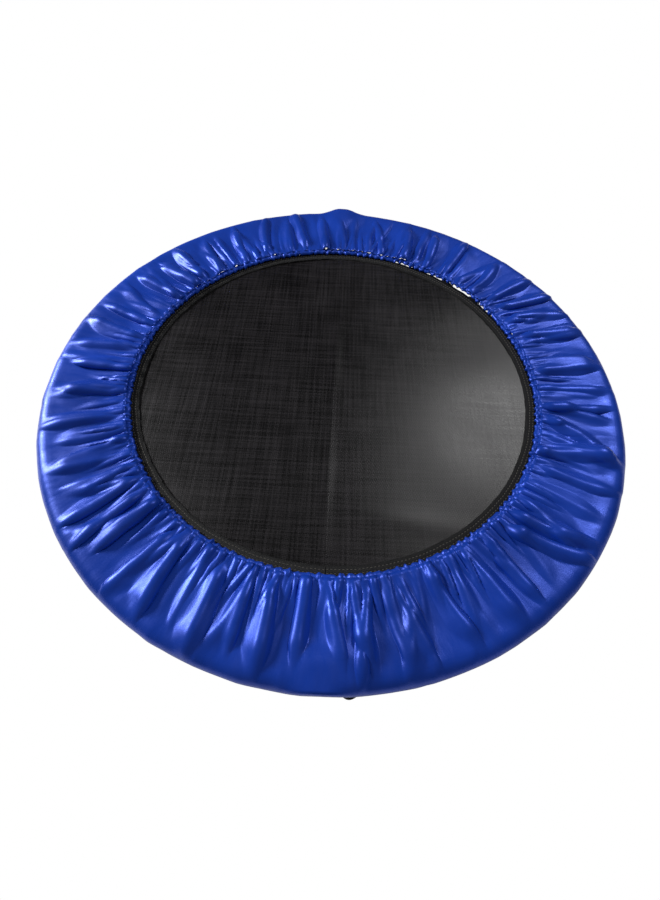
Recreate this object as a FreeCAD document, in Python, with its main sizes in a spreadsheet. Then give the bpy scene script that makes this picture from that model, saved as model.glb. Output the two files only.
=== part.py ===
import FreeCAD, Part
import math
import os
import re

import Sketcher
from FreeCAD import Placement, Rotation, Vector

# A round mini trampoline that folds in half. Millimetres, +Z up, z = 0 at the floor under the feet.
# The fold line is the Y axis at x = 0. The right half is x > 0, and the left half is the same parts
# turned half a turn about Z. "Back" is +Y and "front" is -Y.

DIMENSIONS = {
    "ring_radius": 483.5,  # centre line of the frame tube
    "tube_radius": 12.5,
    "tube_wall": 1.5,
    "mat_height": 235,  # the mat's middle plane and the tube's centre, above the floor
    "mat_radius": 360,  # outer edge of the webbing round the mat
    "mat_thick": 1.5,
    "fold_gap": 0.3,  # between the two halves of the mat
    "webbing_width": 22,
    "webbing_thick": 1.25,
    "webbing_hold": 14,  # how far the fabric reaches into the webbing
    "strap_width": 17,
    "strap_thick": 1.2,
    "strap_reach": 20,  # how far a strap is sewn onto the webbing
    "ring_wire": 1.5,  # radius of the wire of the triangular rings
    "ring_base": 27,
    "ring_depth": 16,
    "ring_offset": 3.2,  # from the webbing's edge to the wire in the strap
    "spring_wire": 1.2,
    "coil_radius": 6.5,
    "coil_start": 388,
    "coil_length": 70,
    "hook_gap": 0.1,  # between a spring's hook and the ring it pulls
    "hook_end": 2.5,  # how far a hook runs on past its bend
    "anchor_reach": 4,  # how far a spring's far end goes into the tube before it bends up
    "anchor_bend": 3,
    "hole_radius": 3.2,
    "end_gap": 0.5,  # from the fold line to the face of a tube's end cap
    "cap_flange": 1,
    "cap_depth": 12,
    "cap_play": 0.05,
    "pin_lift": 17.5,  # hinge axis above the tube's centre
    "pin_radius": 2.2,
    "pin_play": 0.05,
    "knuckle_radius": 4,
    "hinge_width": 24,
    "middle_width": 8,
    "knuckle_gap": 0.3,
    "leaf_thick": 2,
    "leaf_start": 4.6,
    "leaf_end": 42,
    "leaf_drop": 8,  # how far the leaf reaches down from the top of the tube
    "web_reach": 5.2,  # where a knuckle's web ends, over the leaf and short of the cover
    "web_lift": 0.6,
    "pin_end": 1,  # how far the pin's shank runs past the knuckles
    "head_radius": 3.5,
    "head_length": 1.6,
    "rivet_radius": 3.1,
    "rivet_length": 1.2,
    "head_gap": 0.2,
    "cover_gap": 2.5,
    "cover_thick": 1.5,
    "cover_edge": 366.5,  # centre of the casing along the cover's inner edge
    "cover_lift": 9.5,
    "cover_end": 5.6,  # where each cover half stops, from the fold line
    "casing_radius": 3.4,
    "casing_play": 0.1,  # round the elastic in its channel
    "elastic_radius": 2,
    "skirt_drop": 27,
    "hem_radius": 2.6,
    "hem_elastic": 1.5,
    "socket_radius": 11,
    "socket_length": 20,
    "socket_rise": 7.5,  # how far a socket goes up past the bottom of the tube, before it is cut to fit
    "leg_radius": 12.5,
    "leg_wall": 1.5,
    "leg_play": 0.3,
    "stud_radius": 5,
    "stud_play": 0.08,
    "stud_length": 17,
    "stud_point": 1.5,  # length of the narrower lead-in at the stud's tip
    "point_radius": 4,
    "plug_length": 14,
    "foot_radius": 15.5,
    "foot_height": 34,
    "foot_sole": 8,
    "foot_rounding": 1.8,
}
FIRST_LEG = -84.0  # degrees from +X, on the right half
LEG_STEP = 60.0
LEGS = ("front", "right_front", "right_back", "back", "left_back", "left_front")
SIDES = {"right": 0.0, "left": 180.0}
SPRINGS_PER_SIDE = 16
SPRING_TURNS = 14
SPRING_STEP = 360.0 / (2 * SPRINGS_PER_SIDE)
FIRST_SPRING = -SPRING_STEP * (SPRINGS_PER_SIDE - 1) / 2
UP = Vector(0, 0, 1)
HEM_RADIUS = "ring_radius + tube_radius + cover_gap + cover_thick - hem_radius"
HEM_HEIGHT = "mat_height - skirt_drop"

doc = FreeCAD.newDocument("mini_trampoline")
sheet = doc.addObject("Spreadsheet::Sheet", "Dims")
for row, (alias, amount) in enumerate(DIMENSIONS.items(), start=1):
    sheet.set(f"A{row}", alias)
    sheet.set(f"B{row}", str(amount))
    sheet.setAlias(f"B{row}", alias)
workings = doc.addObject("Spreadsheet::Sheet", "Workings")
doc.recompute()

nodes = []


def size(alias):
    """One driving dimension, in millimetres."""
    return float(sheet.get(alias))


def words(formula):
    """The formula with each of the sheet's words written as a reference to the sheet."""
    return re.sub(r"[a-z]+(_[a-z]+)+", lambda found: "Dims." + found[0], formula)


def number(formula):
    """What a formula on the sheet's words comes to, worked out in a cell of a second sheet."""
    workings.set("A1", "=" + words(formula))
    workings.recompute()
    found = workings.get("A1")
    return float(getattr(found, "Value", found))


def bind(thing, **formulas):
    """Ties properties of a feature to formulas on the sheet."""
    for name, formula in formulas.items():
        thing.setExpression(name.replace("__", "."), words(formula))


def turned(angle):
    """The placement of a piece that is turned about Z."""
    return Placement(Vector(), Rotation(UP, angle))


def new_body(name, angle=0.0):
    """A body that becomes the node of that name."""
    body = doc.addObject("PartDesign::Body", name)
    body.Label = name
    body.Placement = turned(angle)
    nodes.append(body)
    return body


def new_sketch(body, plane, name, formula=None, turn=None):
    """A sketch on one of the body's own planes, raised by a formula or turned by a rotation."""
    sketch = body.newObject("Sketcher::SketchObject", f"{body.Name}_{name}")
    flat = [f for f in body.Origin.OriginFeatures if f.Role == plane][0]
    sketch.AttachmentSupport = [(flat, "")]
    sketch.MapMode = "FlatFace"
    if formula:
        bind(sketch, AttachmentOffset__Base__z=formula)
    if turn:
        sketch.AttachmentOffset = Placement(Vector(), turn)
    return sketch


def fix(sketch, kind, *where, formula):
    """One dimension of a sketch, tied to a formula."""
    index = sketch.addConstraint(Sketcher.Constraint(kind, *where, number(formula)))
    sketch.setExpression(f"Constraints[{index}]", words(formula))


def place(sketch, geometry, point, across, up):
    """Puts a point of a sketch at a distance across and up from the origin."""
    for kind, formula in (("DistanceX", across), ("DistanceY", up)):
        if formula == "0":
            axis = -2 if kind == "DistanceX" else -1
            sketch.addConstraint(Sketcher.Constraint("PointOnObject", geometry, point, axis))
        else:
            fix(sketch, kind, -1, 1, geometry, point, formula=formula)


def circle(sketch, across, up, radius):
    """A circle with its centre and radius tied to formulas."""
    centre = Vector(number(across), number(up), 0)
    found = sketch.addGeometry(Part.Circle(centre, Vector(0, 0, 1), number(radius)), False)
    place(sketch, found, 3, across, up)
    fix(sketch, "Radius", found, formula=radius)


def outline(sketch, corners):
    """A closed outline of straight edges whose corners are tied to formulas."""
    points = [Vector(number(across), number(up), 0) for across, up in corners]
    for i, point in enumerate(points):
        sketch.addGeometry(Part.LineSegment(point, points[(i + 1) % len(points)]), False)
    for i, (across, up) in enumerate(corners):
        ends = (i, 2, (i + 1) % len(points), 1)
        sketch.addConstraint(Sketcher.Constraint("Coincident", *ends))
        place(sketch, i, 1, across, up)


def box_outline(sketch, left, bottom, right, top):
    """A rectangle between two corners."""
    outline(sketch, [(left, bottom), (right, bottom), (right, top), (left, top)])


def feature(body, kind, name, profile, **settings):
    """A PartDesign feature made from a sketch."""
    found = body.newObject(f"PartDesign::{kind}", f"{body.Name}_{name}")
    found.Profile = profile
    for key, setting in settings.items():
        setattr(found, key, setting)
    body.Tip = found
    return found


def revolve(body, profile, name, kind="Revolution", angle="360", whole=False):
    """A feature turned about Z, and for a half ring spread evenly to both sides of +X."""
    axis = [f for f in body.Origin.OriginFeatures if f.Role == "Z_Axis"][0]
    found = feature(body, kind, name, profile, ReferenceAxis=(axis, [""]), Midplane=not whole)
    bind(found, Angle=angle)
    return found


def half_turn(gap, radius):
    """The angle of a half ring whose ends stop a gap short of the fold line."""
    return f"180 - 2 * asin(({gap}) / ({radius})) / 1deg"


def polar(body, name, originals, count, angle):
    """Repeats features about Z."""
    axis = [f for f in body.Origin.OriginFeatures if f.Role == "Z_Axis"][0]
    found = body.newObject("PartDesign::PolarPattern", f"{body.Name}_{name}")
    found.Originals = originals
    found.Axis = (axis, [""])
    found.Angle = angle
    found.Occurrences = count
    body.Tip = found
    return found


def drilled(body, before, what):
    """Checks that a cutting feature took something away."""
    doc.recompute()
    if body.Shape.Volume >= before:
        raise ValueError(f"{body.Label}: {what} cut nothing")


# ---------------------------------------------------------------- frame


def frame_tube(side, angle):
    """Half of the frame ring: a round steel tube with a hole in its inner wall for each spring."""
    body = new_body(f"frame_tube_{side}", angle)
    section = new_sketch(body, "XZ_Plane", "section")
    circle(section, "ring_radius", "mat_height", "tube_radius")
    circle(section, "ring_radius", "mat_height", "tube_radius - tube_wall")
    revolve(body, section, "ring", angle=half_turn("end_gap + cap_flange", "ring_radius"))
    doc.recompute()
    before = body.Shape.Volume
    turn = Rotation(Vector(0, 1, 0), FIRST_SPRING)
    hole = new_sketch(body, "YZ_Plane", "hole", turn=turn)
    circle(hole, "0", "mat_height", "hole_radius")
    pocket = feature(body, "Pocket", "spring_hole", hole, Reversed=True)
    bind(pocket, Length="ring_radius")
    span = SPRING_STEP * (SPRINGS_PER_SIDE - 1)
    polar(body, "spring_holes", [pocket], SPRINGS_PER_SIDE, span)
    drilled(body, before, "the spring holes")


def end_caps(side, angle):
    """Plastic plugs in the two ends of a half ring, whose flanges meet at the fold."""
    body = new_body(f"tube_end_caps_{side}", angle)
    section = new_sketch(body, "XZ_Plane", "flange")
    circle(section, "ring_radius", "mat_height", "tube_radius")
    revolve(body, section, "flanges", angle=half_turn("end_gap", "ring_radius"))
    inner = new_sketch(body, "XZ_Plane", "shoulder")
    circle(inner, "ring_radius", "mat_height", "tube_radius + cap_flange")
    circle(inner, "ring_radius", "mat_height", "tube_radius - tube_wall - cap_play")
    shoulder = half_turn("end_gap + cap_flange", "ring_radius")
    revolve(body, inner, "shoulders", "Groove", angle=shoulder)
    middle = new_sketch(body, "XZ_Plane", "middle")
    circle(middle, "ring_radius", "mat_height", "tube_radius + cap_flange")
    between = half_turn("end_gap + cap_flange + cap_depth", "ring_radius")
    revolve(body, middle, "between", "Groove", angle=between)


def leg_sockets(side, angle):
    """Three threaded bosses welded under a half ring, one for each leg."""
    body = new_body(f"leg_sockets_{side}", angle + FIRST_LEG)
    foot = new_sketch(body, "XY_Plane", "boss", "mat_height - tube_radius - socket_length")
    circle(foot, "ring_radius", "0", "socket_radius")
    boss = feature(body, "Pad", "boss_pad", foot)
    bind(boss, Length="socket_length + socket_rise")
    doc.recompute()
    before = body.Shape.Volume
    bore = new_sketch(body, "XY_Plane", "bore", "mat_height - tube_radius - socket_length")
    circle(bore, "ring_radius", "0", "stud_radius + stud_play")
    thread = feature(body, "Pocket", "thread", bore, Reversed=True)
    bind(thread, Length="socket_length")
    drilled(body, before, "the thread")
    polar(body, "three", [boss, thread], len(LEGS) // 2, LEG_STEP * (len(LEGS) // 2 - 1))
    saddle = new_sketch(body, "XZ_Plane", "saddle")
    circle(saddle, "ring_radius", "mat_height", "tube_radius")
    revolve(body, saddle, "under_the_tube", "Groove", whole=True)


def primitive(kind, name, **formulas):
    """A Part primitive whose sizes are tied to formulas."""
    found = doc.addObject(f"Part::{kind}", name)
    bind(found, **formulas)
    return found


def tube_wrap(name, radius):
    """A short solid stretch round the frame tube, beside the fold line at the back."""
    found = primitive("Torus", name, Radius1="ring_radius", Radius2=radius)
    start = math.degrees(math.asin(size("leaf_end") / size("ring_radius")))
    stop = math.degrees(math.asin(size("leaf_start") / size("ring_radius")))
    found.Angle3 = start - stop
    found.Placement = Placement(Vector(), Rotation(UP, 90 - start))
    bind(found, Placement__Base__z="mat_height")
    return found


def along_pin(name, radius, start, length):
    """A cylinder on the hinge axis at the back, from a distance out along Y."""
    found = primitive("Cylinder", name, Radius=radius, Height=length)
    found.Placement = Placement(Vector(), Rotation(Vector(1, 0, 0), -90))
    bind(found, Placement__Base__y=start, Placement__Base__z="mat_height + pin_lift")
    return found


def knuckle(name, start, length):
    """A hinge knuckle and the web that carries it from the leaf."""
    barrel = along_pin(f"{name}_barrel", "knuckle_radius", start, length)
    web = primitive("Box", f"{name}_web", Length="web_reach", Width=length)
    bind(web, Height="leaf_thick", Placement__Base__y=start)
    bind(web, Placement__Base__z="mat_height + tube_radius + web_lift")
    return [barrel, web]


def hinge_leaf(name, angle, outer):
    """One leaf of a fold hinge: a saddle welded over the tube, with two outer knuckles or a middle one.
    It is made at the back of the right half. The one with the middle knuckle is mirrored to the front."""
    saddle = doc.addObject("Part::Cut", f"{name}_saddle")
    saddle.Base = tube_wrap(f"{name}_wrap", "tube_radius + leaf_thick")
    saddle.Tool = tube_wrap(f"{name}_tube", "tube_radius")
    above = primitive("Box", f"{name}_above", Length="leaf_end * 2", Width="tube_radius * 4")
    bind(above, Height="tube_radius * 2", Placement__Base__z="mat_height + tube_radius - leaf_drop")
    bind(above, Placement__Base__y="ring_radius - tube_radius * 2")
    top = doc.addObject("Part::Common", f"{name}_top")
    top.Base = saddle
    top.Tool = above
    side = "(hinge_width - middle_width) / 2 - knuckle_gap"
    if outer:
        pieces = knuckle(f"{name}_in", "ring_radius - hinge_width / 2", side)
        pieces += knuckle(f"{name}_out", "ring_radius + middle_width / 2 + knuckle_gap", side)
    else:
        pieces = knuckle(f"{name}_mid", "ring_radius - middle_width / 2", "middle_width")
    solid = doc.addObject("Part::MultiFuse", f"{name}_solid")
    solid.Shapes = [top] + pieces
    leaf = doc.addObject("Part::Cut", name if outer else f"{name}_back")
    leaf.Base = solid
    leaf.Tool = along_pin(f"{name}_bore", "pin_radius + pin_play", "ring_radius - hinge_width", "hinge_width * 2")
    if not outer:
        back = leaf
        leaf = doc.addObject("Part::Mirroring", name)
        leaf.Source = back
        leaf.Normal = Vector(0, 1, 0)
    leaf.Label = name
    leaf.Placement = turned(angle)
    nodes.append(leaf)


def hinge_pin(name, angle):
    """A headed pin through the three knuckles of a hinge, riveted over at its other end."""
    inner, outer = "ring_radius - hinge_width / 2", "ring_radius + hinge_width / 2"
    shank = along_pin(f"{name}_shank", "pin_radius", f"{inner} - pin_end", "hinge_width + 2 * pin_end")
    head = along_pin(f"{name}_head", "head_radius", f"{outer} + head_gap", "head_length")
    foot = f"{inner} - head_gap - rivet_length"
    rivet = along_pin(f"{name}_rivet", "rivet_radius", foot, "rivet_length")
    pin = doc.addObject("Part::MultiFuse", name)
    pin.Shapes = [shank, head, rivet]
    pin.Label = name
    pin.Placement = turned(angle)
    nodes.append(pin)


# ---------------------------------------------------------------- legs


def leg(place_name, angle):
    """A screw-in leg: a steel tube, a stud welded in its top and a rubber foot over its bottom."""
    top = "mat_height - tube_radius - socket_length - leg_play"
    tube = new_body(f"leg_tube_{place_name}", angle)
    wall = new_sketch(tube, "XY_Plane", "wall", "foot_sole")
    circle(wall, "ring_radius", "0", "leg_radius")
    circle(wall, "ring_radius", "0", "leg_radius - leg_wall")
    bind(feature(tube, "Pad", "length", wall), Length=f"{top} - foot_sole")

    stud = new_body(f"leg_stud_{place_name}", angle)
    plug = new_sketch(stud, "XY_Plane", "plug", f"{top} - plug_length")
    circle(plug, "ring_radius", "0", "leg_radius - leg_wall")
    bind(feature(stud, "Pad", "plug_pad", plug), Length="plug_length")
    shank = new_sketch(stud, "XY_Plane", "shank", top)
    circle(shank, "ring_radius", "0", "stud_radius")
    bind(feature(stud, "Pad", "shank_pad", shank), Length="stud_length")
    point = new_sketch(stud, "XY_Plane", "point", f"{top} + stud_length")
    circle(point, "ring_radius", "0", "point_radius")
    bind(feature(stud, "Pad", "point_pad", point), Length="stud_point")

    foot = new_body(f"leg_foot_{place_name}", angle)
    sole = new_sketch(foot, "XY_Plane", "sole")
    circle(sole, "ring_radius", "0", "foot_radius")
    bind(feature(foot, "Pad", "block", sole), Length="foot_height")
    doc.recompute()
    before = foot.Shape.Volume
    well = new_sketch(foot, "XY_Plane", "well", "foot_sole")
    circle(well, "ring_radius", "0", "leg_radius")
    bind(feature(foot, "Pocket", "socket", well, Reversed=True), Length="foot_height")
    drilled(foot, before, "the leg's socket")
    sharp = foot.Tip
    rim = [
        f"Edge{i + 1}"
        for i, edge in enumerate(sharp.Shape.Edges)
        if hasattr(edge.Curve, "Radius") and abs(edge.Curve.Radius - size("foot_radius")) < 0.01
    ]
    soft = foot.newObject("PartDesign::Fillet", f"{foot.Name}_soft")
    soft.Base = (sharp, rim)
    bind(soft, Radius="foot_rounding")
    foot.Tip = soft


# ---------------------------------------------------------------- mat and suspension


def mat(side, angle):
    """Half of the woven mat, up to the fold line."""
    body = new_body(f"mat_{side}", angle)
    flat = new_sketch(body, "XY_Plane", "half_disc", "mat_height - mat_thick / 2")
    radius = number("mat_radius - webbing_width + webbing_hold")
    gap = size("fold_gap") / 2
    reach = math.sqrt(radius**2 - gap**2)
    turn = math.atan2(reach, gap)
    ends = Vector(gap, -reach, 0), Vector(gap, reach, 0)
    rim = Part.ArcOfCircle(Part.Circle(Vector(), UP, radius), -turn, turn)
    flat.addGeometry(rim, False)
    flat.addGeometry(Part.LineSegment(ends[1], ends[0]), False)
    flat.addConstraint(Sketcher.Constraint("Coincident", 0, 2, 1, 1))
    flat.addConstraint(Sketcher.Constraint("Coincident", 1, 2, 0, 1))
    flat.addConstraint(Sketcher.Constraint("Coincident", 0, 3, -1, 1))
    flat.addConstraint(Sketcher.Constraint("Vertical", 1))
    fix(flat, "Radius", 0, formula="mat_radius - webbing_width + webbing_hold")
    fix(flat, "DistanceX", -1, 1, 1, 1, formula="fold_gap / 2")
    bind(feature(body, "Pad", "sheet", flat), Length="mat_thick")


def mat_webbing(side, angle):
    """The webbing bound round the edge of half the mat, open towards the fabric."""
    body = new_body(f"mat_webbing_{side}", angle)
    half = "mat_thick / 2 + webbing_thick"
    band = new_sketch(body, "XZ_Plane", "band")
    box_outline(
        band, "mat_radius - webbing_width", f"mat_height - ({half})", "mat_radius", f"mat_height + {half}"
    )
    turn = half_turn("fold_gap / 2", "mat_radius")
    revolve(body, band, "binding", angle=turn)
    slot = new_sketch(body, "XZ_Plane", "slot")
    box_outline(
        slot,
        "mat_radius - webbing_width - 1",
        "mat_height - mat_thick / 2",
        "mat_radius - webbing_width + webbing_hold",
        "mat_height + mat_thick / 2",
    )
    revolve(body, slot, "fabric_slot", "Groove", whole=True)


def strap_section(sketch):
    """A flat strap that is folded round the wire of a ring: two legs joined by a half circle."""
    centre = "mat_radius + ring_offset"
    inner, outer = "mat_thick / 2 + webbing_thick", "mat_thick / 2 + webbing_thick + strap_thick"
    start = "mat_radius - strap_reach"
    x, z, back = number(centre), size("mat_height"), number(start)
    low, high = number(inner), number(outer)
    middle = Vector(x, z, 0)
    quarter = math.pi / 2
    edges = [
        Part.LineSegment(Vector(back, z - high, 0), Vector(x, z - high, 0)),
        Part.ArcOfCircle(Part.Circle(middle, UP, high), -quarter, quarter),
        Part.LineSegment(Vector(x, z + high, 0), Vector(back, z + high, 0)),
        Part.LineSegment(Vector(back, z + high, 0), Vector(back, z + low, 0)),
        Part.LineSegment(Vector(back, z + low, 0), Vector(x, z + low, 0)),
        Part.ArcOfCircle(Part.Circle(middle, UP, low), -quarter, quarter),
        Part.LineSegment(Vector(x, z - low, 0), Vector(back, z - low, 0)),
        Part.LineSegment(Vector(back, z - low, 0), Vector(back, z - high, 0)),
    ]
    for edge in edges:
        sketch.addGeometry(edge, False)
    # each pair is (edge, end) to (edge, end) round the section; 1 is an edge's start and 2 its end
    joins = [(0, 2, 1, 1), (1, 2, 2, 1), (2, 2, 3, 1), (3, 2, 4, 1)]
    joins += [(4, 2, 5, 2), (5, 1, 6, 1), (6, 2, 7, 1), (7, 2, 0, 1)]
    for join in joins:
        sketch.addConstraint(Sketcher.Constraint("Coincident", *join))
    for flat in (0, 2, 4, 6):
        sketch.addConstraint(Sketcher.Constraint("Horizontal", flat))
    for upright in (3, 7):
        sketch.addConstraint(Sketcher.Constraint("Vertical", upright))
    sketch.addConstraint(Sketcher.Constraint("Coincident", 1, 3, 5, 3))
    place(sketch, 1, 3, centre, "mat_height")
    fix(sketch, "Radius", 1, formula=outer)
    fix(sketch, "Radius", 5, formula=inner)
    sketch.addConstraint(Sketcher.Constraint("Vertical", 1, 1, 1, 3))
    sketch.addConstraint(Sketcher.Constraint("Vertical", 1, 2, 1, 3))
    sketch.addConstraint(Sketcher.Constraint("Vertical", 5, 1, 5, 3))
    fix(sketch, "DistanceX", -1, 1, 0, 1, formula=start)
    sketch.addConstraint(Sketcher.Constraint("Vertical", 2, 2, 0, 1))


def ring_straps(side, angle):
    """The short straps that hold the triangular rings to the edge of the mat."""
    body = new_body(f"ring_straps_{side}", angle + FIRST_SPRING)
    section = new_sketch(body, "XZ_Plane", "section")
    strap_section(section)
    strap = feature(body, "Pad", "strap", section, Midplane=True)
    bind(strap, Length="strap_width")
    span = SPRING_STEP * (SPRINGS_PER_SIDE - 1)
    polar(body, "straps", [strap], SPRINGS_PER_SIDE, span)


def swept(points, radius):
    """A round wire along straight runs and arcs. points holds runs' ends; three in a tuple are an arc."""
    edges = []
    for run in points:
        curve = Part.Arc(*run) if len(run) == 3 else Part.LineSegment(*run)
        edges.append(curve.toShape())
    path = Part.Wire(edges)
    start = edges[0].valueAt(edges[0].FirstParameter)
    heading = edges[0].tangentAt(edges[0].FirstParameter)
    section = Part.Wire([Part.Circle(start, heading, radius).toShape()])
    return path.makePipeShell([section], True, False)


def around(name, angle, shape, count, step):
    """A node of like pieces, spread about Z by the same step."""
    node = doc.addObject("Part::Feature", name)
    copies = []
    for i in range(count):
        copy = shape.copy()
        copy.rotate(Vector(), UP, FIRST_SPRING + step * i)
        copies.append(copy)
    node.Shape = Part.Compound(copies)
    node.Label = name
    node.Placement = turned(angle)
    nodes.append(node)


def triangle_ring():
    """A triangular wire ring: its base lies in a strap, and a spring hooks its apex."""
    wire, z = size("ring_wire"), size("mat_height")
    back = size("mat_radius") + size("ring_offset")
    apex = Vector(back + size("ring_depth"), 0, z)
    corners = [Vector(back, -size("ring_base") / 2, z), Vector(back, size("ring_base") / 2, z), apex]
    pieces = [Part.makeSphere(wire, corner) for corner in corners]
    for i, corner in enumerate(corners):
        run = corners[(i + 1) % 3] - corner
        pieces.append(Part.makeCylinder(wire, run.Length, corner, run))
    return pieces[0].multiFuse(pieces[1:]).removeSplitter()


def spring():
    """A close-wound tension spring on +X: ribbed coils, a hook over the ring's apex and one into the tube."""
    wire, outer, z = size("spring_wire"), size("coil_radius"), size("mat_height")
    start, length = size("coil_start"), size("coil_length")
    turns = SPRING_TURNS
    pitch = length / turns
    edges = [Part.LineSegment(Vector(start, 0, z), Vector(start, 0, z + outer - wire)).toShape()]
    for i in range(turns):
        left, right = start + pitch * i, start + pitch * (i + 1)
        valley = z + outer - wire
        ends = Vector(left, 0, valley), Vector((left + right) / 2, 0, z + outer), Vector(right, 0, valley)
        edges.append(Part.Arc(*ends).toShape())
    end = start + length
    edges.append(Part.LineSegment(Vector(end, 0, z + outer - wire), Vector(end, 0, z)).toShape())
    edges.append(Part.LineSegment(Vector(end, 0, z), Vector(start, 0, z)).toShape())
    coils = Part.Face(Part.Wire(edges)).revolve(Vector(start, 0, z), Vector(1, 0, 0), 360)

    apex = size("mat_radius") + size("ring_offset") + size("ring_depth")
    # the hook lies in the ring's apex, touching neither of its two sides
    slope = math.atan2(size("ring_base") / 2, size("ring_depth"))
    bend = (wire + size("ring_wire") + size("hook_gap")) / math.sin(slope)
    hook = swept(
        [
            (Vector(start + 2, 0, z + bend), Vector(apex, 0, z + bend)),
            (Vector(apex, 0, z + bend), Vector(apex - bend, 0, z), Vector(apex, 0, z - bend)),
            (Vector(apex, 0, z - bend), Vector(apex + size("hook_end"), 0, z - bend)),
        ],
        wire,
    )
    wall = size("ring_radius") - size("tube_radius")
    inside, rise, tip = wall + size("anchor_reach"), size("anchor_bend"), size("hook_end")
    lean = rise * math.sqrt(0.5)
    anchor = swept(
        [
            (Vector(end - 2, 0, z), Vector(inside, 0, z)),
            (
                Vector(inside, 0, z),
                Vector(inside + lean, 0, z + rise - lean),
                Vector(inside + rise, 0, z + rise),
            ),
            (Vector(inside + rise, 0, z + rise), Vector(inside + rise, 0, z + rise + tip)),
        ],
        wire,
    )
    return coils.multiFuse([hook, anchor])


# ---------------------------------------------------------------- cover


def cover_section(sketch):
    """The sheet of the cover: a shallow slope up from its inner edge, over the tube and down outside."""
    x, z = size("ring_radius"), size("mat_height")
    inner = number("tube_radius + cover_gap")
    outer = inner + size("cover_thick")
    edge = Vector(size("cover_edge"), number("mat_height + cover_lift - cover_thick / 2"), 0)
    away = Vector(x, z, 0) - edge
    # the angle round the tube at which a line from the edge touches the inner arc
    touch = math.atan2(away.y, away.x) + math.asin(inner / away.Length) + math.pi / 2
    across = Vector(math.cos(touch), math.sin(touch), 0)
    middle = Vector(x, z, 0)
    low = z - size("skirt_drop")
    lifted = Vector(edge.x, edge.y + size("cover_thick") / across.y, 0)
    edges = [
        Part.LineSegment(edge, middle + across * inner),
        Part.ArcOfCircle(Part.Circle(middle, UP, inner), 0, touch),
        Part.LineSegment(Vector(x + inner, z, 0), Vector(x + inner, low, 0)),
        Part.LineSegment(Vector(x + inner, low, 0), Vector(x + outer, low, 0)),
        Part.LineSegment(Vector(x + outer, low, 0), Vector(x + outer, z, 0)),
        Part.ArcOfCircle(Part.Circle(middle, UP, outer), 0, touch),
        Part.LineSegment(middle + across * outer, lifted),
        Part.LineSegment(lifted, edge),
    ]
    for piece in edges:
        sketch.addGeometry(piece, False)
    tangent = [(0, 2, 1, 2), (1, 1, 2, 1), (4, 2, 5, 1), (5, 2, 6, 1)]
    plain = [(2, 2, 3, 1), (3, 2, 4, 1), (6, 2, 7, 1), (7, 2, 0, 1)]
    for join in tangent:
        sketch.addConstraint(Sketcher.Constraint("Tangent", *join))
    for join in plain:
        sketch.addConstraint(Sketcher.Constraint("Coincident", *join))
    for upright in (2, 4, 7):
        sketch.addConstraint(Sketcher.Constraint("Vertical", upright))
    sketch.addConstraint(Sketcher.Constraint("Horizontal", 3))
    sketch.addConstraint(Sketcher.Constraint("Coincident", 1, 3, 5, 3))
    place(sketch, 1, 3, "ring_radius", "mat_height")
    fix(sketch, "Radius", 1, formula="tube_radius + cover_gap")
    fix(sketch, "Radius", 5, formula="tube_radius + cover_gap + cover_thick")
    place(sketch, 0, 1, "cover_edge", "mat_height + cover_lift - cover_thick / 2")
    fix(sketch, "DistanceY", -1, 1, 2, 2, formula="mat_height - skirt_drop")


def cover(side, angle):
    """Half of the spring cover: a nylon sheet with a casing for elastic along both of its edges."""
    body = new_body(f"cover_{side}", angle)
    turn = half_turn("cover_end", "ring_radius")
    section = new_sketch(body, "XZ_Plane", "sheet")
    cover_section(section)
    revolve(body, section, "skin", angle=turn)
    casings = {
        "inner": ("cover_edge", "mat_height + cover_lift", "casing_radius", "elastic_radius + casing_play"),
        "outer": (HEM_RADIUS, HEM_HEIGHT, "hem_radius", "hem_elastic + casing_play"),
    }
    for name, (across, up, radius, channel) in casings.items():
        casing = new_sketch(body, "XZ_Plane", f"{name}_casing")
        circle(casing, across, up, radius)
        revolve(body, casing, f"{name}_edge", angle=turn)
    for name, (across, up, radius, channel) in casings.items():
        doc.recompute()
        before = body.Shape.Volume
        hollow = new_sketch(body, "XZ_Plane", f"{name}_channel")
        circle(hollow, across, up, channel)
        revolve(body, hollow, f"{name}_hollow", "Groove", whole=True)
        drilled(body, before, f"the {name} channel")


def elastic(name, side, angle, across, up, radius):
    """Half a ring of elastic cord, inside a casing of the cover."""
    body = new_body(f"{name}_{side}", angle)
    section = new_sketch(body, "XZ_Plane", "section")
    circle(section, across, up, radius)
    revolve(body, section, "cord", angle=half_turn("cover_end", "ring_radius"))


# ---------------------------------------------------------------- the whole trampoline

for side, angle in SIDES.items():
    frame_tube(side, angle)
    end_caps(side, angle)
    leg_sockets(side, angle)
    # at the back the right half has the outer knuckles, and at the front the left half has them
    outer_end, middle_end = ("back", "front") if side == "right" else ("front", "back")
    hinge_leaf(f"hinge_leaf_{outer_end}_{side}", angle, outer=True)
    hinge_leaf(f"hinge_leaf_{middle_end}_{side}", angle, outer=False)
    hinge_pin(f"hinge_pin_{outer_end}", angle)
    mat(side, angle)
    mat_webbing(side, angle)
    ring_straps(side, angle)
    around(f"mat_rings_{side}", angle, triangle_ring(), SPRINGS_PER_SIDE, SPRING_STEP)
    around(f"springs_{side}", angle, spring(), SPRINGS_PER_SIDE, SPRING_STEP)
    cover(side, angle)
    elastic("cover_elastic", side, angle, "cover_edge", "mat_height + cover_lift", "elastic_radius")
    elastic("hem_elastic", side, angle, HEM_RADIUS, HEM_HEIGHT, "hem_elastic")
for i, name in enumerate(LEGS):
    leg(name, FIRST_LEG + LEG_STEP * i)

doc.recompute()
for thing in doc.Objects:
    if "Invalid" in thing.State or "Error" in thing.State:
        raise RuntimeError(f"{thing.Label} failed: {thing.State}")
for node in nodes:
    if node.Shape.isNull() or not node.Shape.isValid():
        raise RuntimeError(f"{node.Label} has no valid shape")

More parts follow.
